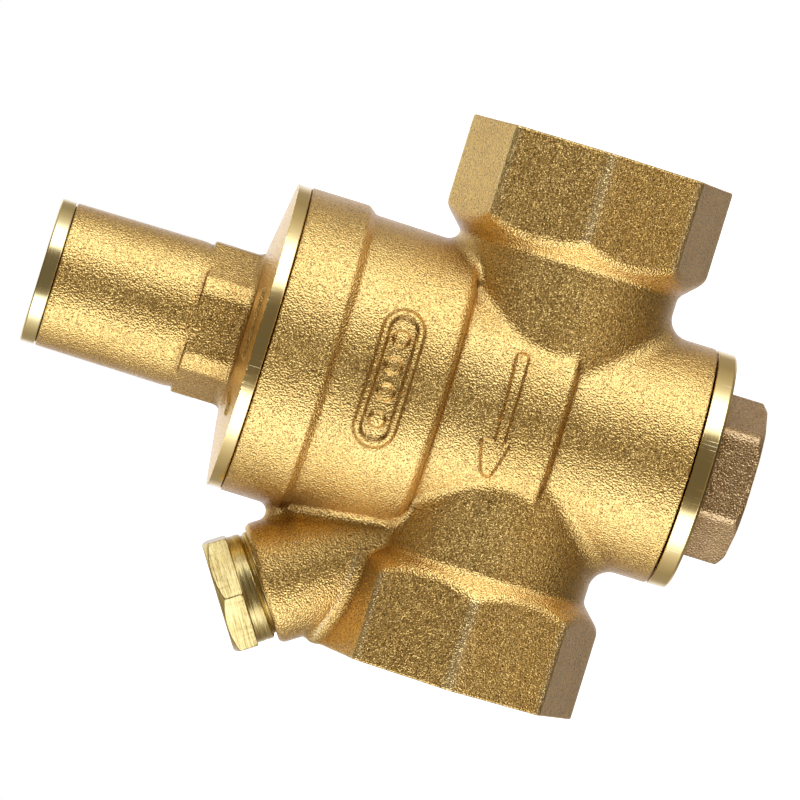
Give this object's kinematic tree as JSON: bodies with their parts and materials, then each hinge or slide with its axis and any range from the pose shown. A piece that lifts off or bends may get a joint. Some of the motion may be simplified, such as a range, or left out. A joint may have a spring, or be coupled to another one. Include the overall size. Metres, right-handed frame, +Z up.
{
  "type": "pressure reducing valve",
  "caption": "Threaded brass pressure reducing valve: in-line octagon ports, spring bonnet with screw cap, balanced piston inside, leaning plugged gauge port over the outlet.",
  "frame": {"origin": "centre of the flat end of the bottom plug's hexagon, on the bonnet and spring axis", "axes": "+Z up the bonnet axis to the cap, +X towards the inlet, so water flows towards -X; the port axis is 29.6 mm above the origin and the gauge port leans over the outlet"},
  "size_m": [0.074, 0.04, 0.0934],
  "materials": {
    "cast_brass": "shot-blasted casting with machined rims",
    "plug_brass": "dull forged hexagon with a turned flange",
    "turned_brass": "bright turned",
    "stainless": "turned",
    "spring_steel": "drawn wire",
    "black_rubber": "smooth",
    "white_ptfe": "smooth"
  },
  "bodies": {
    "valve_body": {"valve_body": "cast_brass", "bonnet": "cast_brass", "bonnet_o_ring": "black_rubber", "bottom_plug": "plug_brass", "bottom_plug_o_ring": "black_rubber", "main_spring": "spring_steel"},
    "piston_set": {"piston": "turned_brass", "piston_o_ring": "black_rubber", "piston_wear_ring": "white_ptfe", "stem": "stainless", "piston_washer": "stainless", "piston_nut": "stainless", "valve_disc": "turned_brass", "disc_seal": "black_rubber", "plunger_o_ring": "black_rubber", "disc_washer": "stainless", "disc_nut": "stainless"},
    "spring_seat": {"spring_seat": "turned_brass"},
    "adjusting_screw": {"adjusting_screw": "turned_brass"},
    "cap_washer": {"cap_washer": "black_rubber"},
    "cap": {"cap": "turned_brass"},
    "gauge_plug": {"gauge_plug": "turned_brass"}
  },
  "joints": [
    {"name": "piston_travel", "type": "slide", "parent": "valve_body", "child": "piston_set", "axis": [0, 0, 1], "range_m": [0, 0.003], "deforming": ["main_spring"]},
    {"name": "screw_advance", "type": "slide", "parent": "valve_body", "child": "spring_seat", "axis": [0, 0, 1], "range_m": [-0.0031, 0.0016], "deforming": ["main_spring"]},
    {"name": "screw_turn", "type": "hinge", "parent": "spring_seat", "child": "adjusting_screw", "pos_m": [0, 0, 0.08285], "axis": [0, 0, 1], "range_deg": [-720, 360]},
    {"name": "cap_lift", "type": "slide", "parent": "valve_body", "child": "cap_washer", "axis": [0, 0, 1], "range_m": [0, 0.0061]},
    {"name": "cap_turn", "type": "hinge", "parent": "cap_washer", "child": "cap", "pos_m": [0, 0, 0.09162], "axis": [0, 0, 1], "range_deg": [0, 1440]},
    {"name": "gauge_plug_withdraw", "type": "slide", "parent": "valve_body", "child": "gauge_plug", "axis": [-0.5592, 0, 0.829], "range_m": [0, 0.016]}
  ],
  "couplings": [
    {"joint": "screw_advance", "follows": "screw_turn", "m_per_rad": 0.00023873},
    {"joint": "cap_lift", "follows": "cap_turn", "m_per_rad": 0.00023873}
  ]
}
